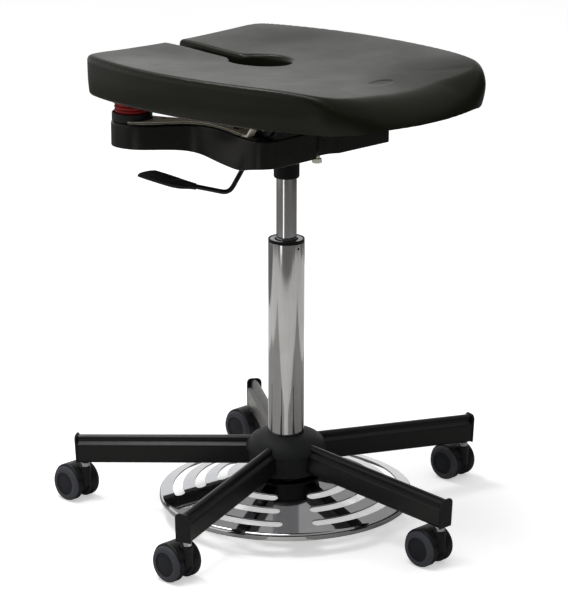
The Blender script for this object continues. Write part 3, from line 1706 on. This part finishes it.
@dataclass
class Caster:
    """One twin-wheel caster, drawn with its stem on Z and its wheels trailing along +Y."""

    number: int
    stem_radius: float = 287.2
    trail: float = 19.0
    wheel: float = 25.0
    pin: Point2 = (4.0, 26.0)
    socket: Point2 = (5.5, 79.0)
    ring: float = 6.6
    ring_bottom: float = 51.5
    ring_top: float = 58.8
    hood: float = 27.6
    hood_half: float = 18.5
    hood_tilt: float = 24.0
    room: float = 0.9
    throat: float = 12.0
    web: float = 20.0
    web_half: float = 8.2
    boss: Point2 = (4.3, 8.2)
    boss_heights: Point2 = (-2.0, 26.2)
    axle: float = 3.3
    inner: float = 8.8
    outer: float = 23.4
    disc: float = 11.5
    chamfer: float = 5.5
    face: float = 16.0

    def place(self) -> Vector:
        """Where the stem stands."""
        turn = math.radians(-90 + 72 * (self.number - 1))
        return Vector((math.cos(turn), math.sin(turn), 0)) * self.stem_radius

    def at_axle(self, form: Form) -> Form:
        """Move a form drawn about the axle into place."""
        return moved(form, self.place() + Vector((0, self.trail, self.wheel)))

    def build_stem(self) -> None:
        """Model the bright stem ring and its pin."""
        (pin, low), (socket, high), ring = self.pin, self.socket, self.ring
        profile = [(0, low), (pin, low), (pin, self.ring_bottom), (ring, self.ring_bottom),
                   (ring, self.ring_top - 1.6), (ring - 1.4, self.ring_top - 0.2), (socket, self.ring_top),
                   (socket, high), (0, high)]
        form = moved(lathe(eased(profile, 0.6, closed=False), 36), self.place())
        place_piece(f"stem_{self.number}", form, CHROME, Body.BASE, [f"caster_{self.number}_stem"])

    def hood_shell(self) -> Form:
        """The round hood over the wheels, cut open along a sloping plane.

        Returns:
            The closed form, drawn about the axle.
        """
        hood, room, half, web = self.hood, self.wheel + self.room, self.hood_half, self.web_half
        shell = [(room, -half), (hood - 1.6, -half), (hood, 1.6 - half), (hood, half - 1.6),
                 (hood - 1.6, half), (room, half), (room, web), (self.throat, web), (self.throat, -web),
                 (room, -web)]
        form = about_x(lathe(eased(shell, 1.0, steps=2), 72, closed=True))
        slope = Matrix.Rotation(-math.radians(self.hood_tilt), 3, "X") @ Vector((0, 0, 1))
        whole = form.verts[:] + form.edges[:] + form.faces[:]
        cut = bmesh.ops.bisect_plane(form, geom=whole, plane_co=(0, 0, 0), plane_no=slope, clear_inner=True)
        rims = [e for e in cut["geom_cut"] if isinstance(e, bmesh.types.BMEdge)]
        bmesh.ops.holes_fill(form, edges=rims, sides=0)
        return faced_out(form)

    @staticmethod
    def sleeve(radii: Point2, heights: Point2) -> Form:
        """A ring with eased rims.

        Args:
            radii: of its bore and of its outside.
            heights: of its lower and its upper end.

        Returns:
            The closed form, drawn about Z.
        """
        (bore, outer), (low, high) = radii, heights
        rims = eased([(bore, low), (outer, low), (outer, high), (bore, high)], 1.2)
        return lathe(rims, 40, closed=True)

    def build_hood(self) -> None:
        """Model the housing: a web between the wheels, the stem's boss and the hood over the wheels."""
        web = about_x(self.sleeve((self.axle, self.web), (-self.web_half, self.web_half)))
        boss = moved(self.sleeve(self.boss, self.boss_heights), (0, -self.trail, 0))
        tie = brick((2 * self.web_half - 0.4, self.trail, 20), (0, -self.trail / 2, 8), 1.2)
        form = self.at_axle(joined(self.hood_shell(), web, boss, tie))
        place_piece(f"hood_{self.number}", form, BLACK_PLASTIC, f"caster_{self.number}",
                    [f"caster_{self.number}_housing"], crease=38)

    def build_wheel(self, side: int, name: str) -> None:
        """Model one wheel: soft tread, eased shoulder and a sunk face disc.

        Args:
            side: -1 for the right wheel and 1 for the left.
            name: right or left.
        """
        r, inner, outer, rim, back = self.wheel, self.inner, self.outer, self.face, self.inner + self.disc
        profile = [(self.axle, inner), (r - 1.2, inner), (r, inner + 1.2)]
        profile += arc((r - self.chamfer, outer - self.chamfer), self.chamfer, 0, 90, 8)
        profile += [(rim + 1.6, outer), (rim + 0.5, outer - 0.5), (rim, outer - 1.6), (rim - 4, outer - 1.7),
                    (rim - 5, outer - 1.2), (0, outer - 0.9), (0, back), (self.axle, back)]
        form = lathe(profile, 72, closed=True)
        for face in form.faces:
            middle = face.calc_center_median() / MM
            reach = math.hypot(middle.x, middle.y)
            if reach < rim + 0.8 and middle.z > inner + 12:
                face.material_index = 1
            elif reach > r - 2 and middle.z < outer - self.chamfer - 1.5:
                face.material_index = 2
        about_x(form)
        if side < 0:
            turned_by(form, Matrix.Scale(-1, 4, Vector((1, 0, 0))))
            bmesh.ops.reverse_faces(form, faces=form.faces[:])
        place_piece(f"wheel_{self.number}_{name}", self.at_axle(form), [TREAD, WHEEL_FACE, BLACK_PLASTIC],
                    f"wheels_{self.number}", [f"caster_{self.number}_wheel_{name}"], crease=36)

    def build(self) -> None:
        """Model the caster."""
        self.build_stem()
        self.build_hood()
        self.build_wheel(-1, "right")
        self.build_wheel(1, "left")
        dress_node(f"caster_{self.number}_axle", STEEL)


@dataclass(frozen=True)
class Patch:
    """A cloth on the floor: its corners are an angle to the right of the camera and a reach in metres."""

    name: str
    tone: float
    corners: tuple[Point2, ...]
    glow: float = 0.0


@dataclass(frozen=True)
class Ceiling:
    """The studio's round ceiling, in metres."""

    height: float = 3.2
    reach: float = 6.5
    tone: float = 0.3
    glow: float = 0.25


@dataclass(frozen=True)
class Wall:
    """A dark round wall on the camera's side: its ends are angles to the right of the camera."""

    reach: float = 4.2
    start: float = -50.0
    stop: float = 148.0
    height: float = 2.6
    tone: float = 0.06


@dataclass(frozen=True)
class Lamp:
    """A soft round lamp, in metres and watts."""

    name: str
    spot: tuple[float, float, float]
    size: float
    power: float


PATCHES = (
    Patch("cloth_wide", 0.24, tuple((angle, 3.6) for angle in range(0, 360, 10))),
    Patch("cloth_behind", 0.5, ((-120, 2.0), (-100, 1.95), (-80, 1.95), (-66, 2.0), (-66, 3.5), (-80, 3.5),
                                (-100, 3.5), (-120, 3.5))),
    Patch("cloth_side", 0.06, ((60, 2.0), (90, 1.95), (130, 2.0), (130, 3.5), (110, 3.5), (90, 3.5),
                               (75, 3.5), (60, 3.5))),
    Patch("cloth_near", 0.9, ((-180, 1.4), (-90, 1.42), (-60, 1.4), (-40, 1.3), (-20, 1.2), (0, 1.17),
                              (20, 1.2), (40, 1.3), (60, 1.4), (90, 1.42), (130, 1.4))),
    Patch("cloth_ahead", 0.1, ((-20, 2.0), (0, 1.96), (20, 2.0), (20, 3.4), (0, 3.4), (-20, 3.4))),
    Patch("cloth_strip", 0.95, ((-40, 1.36), (-27, 1.34), (-27, 2.1), (-40, 2.1)), 1.1),
    Patch("cloth_left", 0.45, ((-150, 0.75), (-110, 0.82), (-85, 0.8), (-58, 1.06), (-40, 0.74), (-12, 0.47),
                               (-10, 0.2), (-80, 0.2), (-150, 0.2))),
    Patch("cloth_right", 0.42, ((10, 0.2), (12, 0.45), (45, 0.72), (72, 1.06), (92, 0.8), (150, 0.75),
                                (150, 0.2), (80, 0.2))),
)
LAMPS = (Lamp("overhead", (-0.7, 0.0, 2.7), 1.2, 26.0), Lamp("rear", (0.0, 1.5, 2.9), 0.8, 24.0))


@dataclass
class Studio:
    """Pale floor, soft lights, white surroundings and the camera at the photograph's angle, in metres."""

    focal_px: float = 2668.22
    frame_height_px: int = 600
    sensor: float = 36.0
    distance: float = 3.50202
    height: float = 1.35735
    pitch: float = 0.290786
    yaw: float = -0.000916
    roll: float = 0.001756
    heading: float = 45.25
    camera_bearing: float = 225.25
    aim: tuple[float, float, float] = (0.0, 0.0, 0.35)
    floor_reach: float = 9.0
    world_level: float = 0.5
    floor_glow: float = 0.45
    ceiling: Ceiling = Ceiling()
    wall: Wall = Wall()

    def set_camera(self) -> None:
        """Stand the camera where the photograph was taken from."""
        turn = math.radians(self.heading)
        across = Vector((math.cos(turn), -math.sin(turn), 0))
        away = Vector((math.sin(turn), math.cos(turn), 0))
        up = Vector((0, 0, 1))
        right = across * math.cos(self.yaw) - away * math.sin(self.yaw)
        level = across * math.sin(self.yaw) + away * math.cos(self.yaw)
        forward = level * math.cos(self.pitch) - up * math.sin(self.pitch)
        upward = level * math.sin(self.pitch) + up * math.cos(self.pitch)
        cos, sin = math.cos(self.roll), math.sin(self.roll)
        axes = (right * cos + upward * sin, upward * cos - right * sin, -forward)
        data = bpy.data.cameras.new("studio_camera")
        data.sensor_fit = "VERTICAL"
        data.sensor_height = self.sensor
        data.lens = self.focal_px * self.sensor / self.frame_height_px
        data.clip_end = 100
        camera = bpy.data.objects.new("studio_camera", data)
        spot = Vector((0, AXIS_Y, self.height)) - away * self.distance
        camera.matrix_world = Matrix.Translation(spot) @ Matrix(axes).transposed().to_4x4()
        bpy.context.scene.collection.objects.link(camera)
        bpy.context.scene.camera = camera

    def lay_floor(self) -> None:
        """Lay the floor, white where nothing shades it."""
        bm = bmesh.new()
        bmesh.ops.create_circle(bm, cap_ends=True, segments=96, radius=self.floor_reach)
        floor = loose("studio_floor", bm)
        shader = Shader("studio_floor_paint")
        share = shader.spread(shader.noise(3, 2), 0, 1)
        shader.link(shader.blend(share, (0.93, 0.93, 0.93, 1), (0.95, 0.95, 0.95, 1)), "Base Color")
        shader.set(Roughness=0.9, Specular_IOR_Level=0.0, Emission_Color=(1, 1, 1, 1))
        shader.link(shader.times(self.shown_to_eye(shader.tree), self.floor_glow), "Emission Strength")
        floor.data.materials.append(shader.material)

    def lay_patches(self) -> None:
        """Lay cloths on the floor and hang a ceiling and a wall, all for polished surfaces to mirror."""
        near = self.camera_bearing
        for level, patch in enumerate(PATCHES, 1):
            outline = [arc((0, 0), reach, near + angle, near + angle, 1)[0] for angle, reach in patch.corners]
            low = 0.001 * level
            cloth = on_axis(slab(outline, low, low + 0.0005, unit=1))
            self.show_card(patch.name, cloth, patch.tone, patch.glow)
        over, wall = self.ceiling, self.wall
        outline = arc((0, 0), over.reach, 0, 360, 60)[:-1]
        round_card = slab(outline, over.height, over.height + 0.01, unit=1)
        self.show_card("ceiling", round_card, over.tone, over.glow)
        outline = arc((0, 0), wall.reach, near + wall.start, near + wall.stop, 48)
        outline += arc((0, 0), wall.reach + 0.02, near + wall.stop, near + wall.start, 48)
        self.show_card("dark_wall", slab(outline, 0.01, wall.height, unit=1), wall.tone, 0.0)

    def show_card(self, name: str, form: Form, tone: float, glow: float) -> None:
        """Put a matt card in the studio, seen by mirrored rays alone, so that it neither shows nor shades.

        Args:
            name: the card's name.
            form: its form, already in place, which is used up.
            tone: share of light that it gives back.
            glow: light of its own, where 1 is white.
        """
        card = loose(name, form)
        shader = Shader(name + "_cloth")
        weave = shader.spread(shader.noise(3.0, 4), 0, 1)
        tints = ((1, 0.97, 0.92), (0.88, 0.86, 0.82))
        tones = [(tone * red, tone * green, tone * blue, 1) for red, green, blue in tints]
        shader.link(shader.blend(weave, *tones), "Base Color")
        shader.set(Roughness=1.0, Specular_IOR_Level=0.0, Emission_Color=(1, 1, 1, 1), Emission_Strength=glow)
        card.data.materials.append(shader.material)
        for ray in ("camera", "diffuse", "shadow", "volume_scatter"):
            setattr(card, "visible_" + ray, False)

    @staticmethod
    def shown_to_eye(tree: bpy.types.NodeTree) -> Socket:
        """One on rays that the camera, a mirror or a glass sends out, zero on light that falls elsewhere.

        Args:
            tree: the node tree to add to.

        Returns:
            The share.
        """
        path = tree.nodes.new("ShaderNodeLightPath")
        shown = path.outputs["Is Camera Ray"]
        for ray in ("Is Glossy Ray", "Is Transmission Ray"):
            either = tree.nodes.new("ShaderNodeMath")
            either.operation = "MAXIMUM"
            tree.links.new(shown, either.inputs[0])
            tree.links.new(path.outputs[ray], either.inputs[1])
            shown = either.outputs[0]
        return shown

    def fill_world(self) -> None:
        """Surround the object with white, dimmer where it only lights the object."""
        world = bpy.data.worlds.new("studio_white")
        world.use_nodes = True
        tree = world.node_tree
        tree.nodes.clear()
        mix = tree.nodes.new("ShaderNodeMixShader")
        tree.links.new(self.shown_to_eye(tree), mix.inputs["Fac"])
        for number, level in ((1, self.world_level), (2, 1.0)):
            white = tree.nodes.new("ShaderNodeBackground")
            white.inputs["Color"].default_value = (1, 1, 1, 1)
            white.inputs["Strength"].default_value = level
            tree.links.new(white.outputs[0], mix.inputs[number])
        tree.links.new(mix.outputs[0], tree.nodes.new("ShaderNodeOutputWorld").inputs["Surface"])
        bpy.context.scene.world = world

    def hang_lamps(self) -> None:
        """Hang the soft lamps, each turned to the stool."""
        for lamp in LAMPS:
            data = bpy.data.lights.new(lamp.name, "AREA")
            data.shape = "DISK"
            data.size = lamp.size
            data.energy = lamp.power
            light = bpy.data.objects.new(lamp.name, data)
            spot = Vector(lamp.spot)
            turn = (Vector(self.aim) - spot).to_track_quat("-Z", "Y").to_matrix().to_4x4()
            light.matrix_world = Matrix.Translation(spot) @ turn
            bpy.context.scene.collection.objects.link(light)

    def build(self) -> None:
        """Set the camera, the floor, the world and the lights."""
        self.set_camera()
        self.lay_floor()
        self.fill_world()
        self.lay_patches()
        self.hang_lamps()
        bpy.context.scene.view_settings.view_transform = "Standard"


def main() -> None:
    """Dress the stool, piece by piece."""
    logging.basicConfig(level=logging.INFO, format="%(name)s: %(message)s")
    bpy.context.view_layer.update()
    Studio().build()
    FootDisc().build()
    StarBase().build()
    GasColumn().build()
    TiltMechanism().build()
    TiltLever().build()
    for number in range(1, 6):
        Caster(number).build()
    SeatPad().build()


if __name__ == "__main__":
    main()
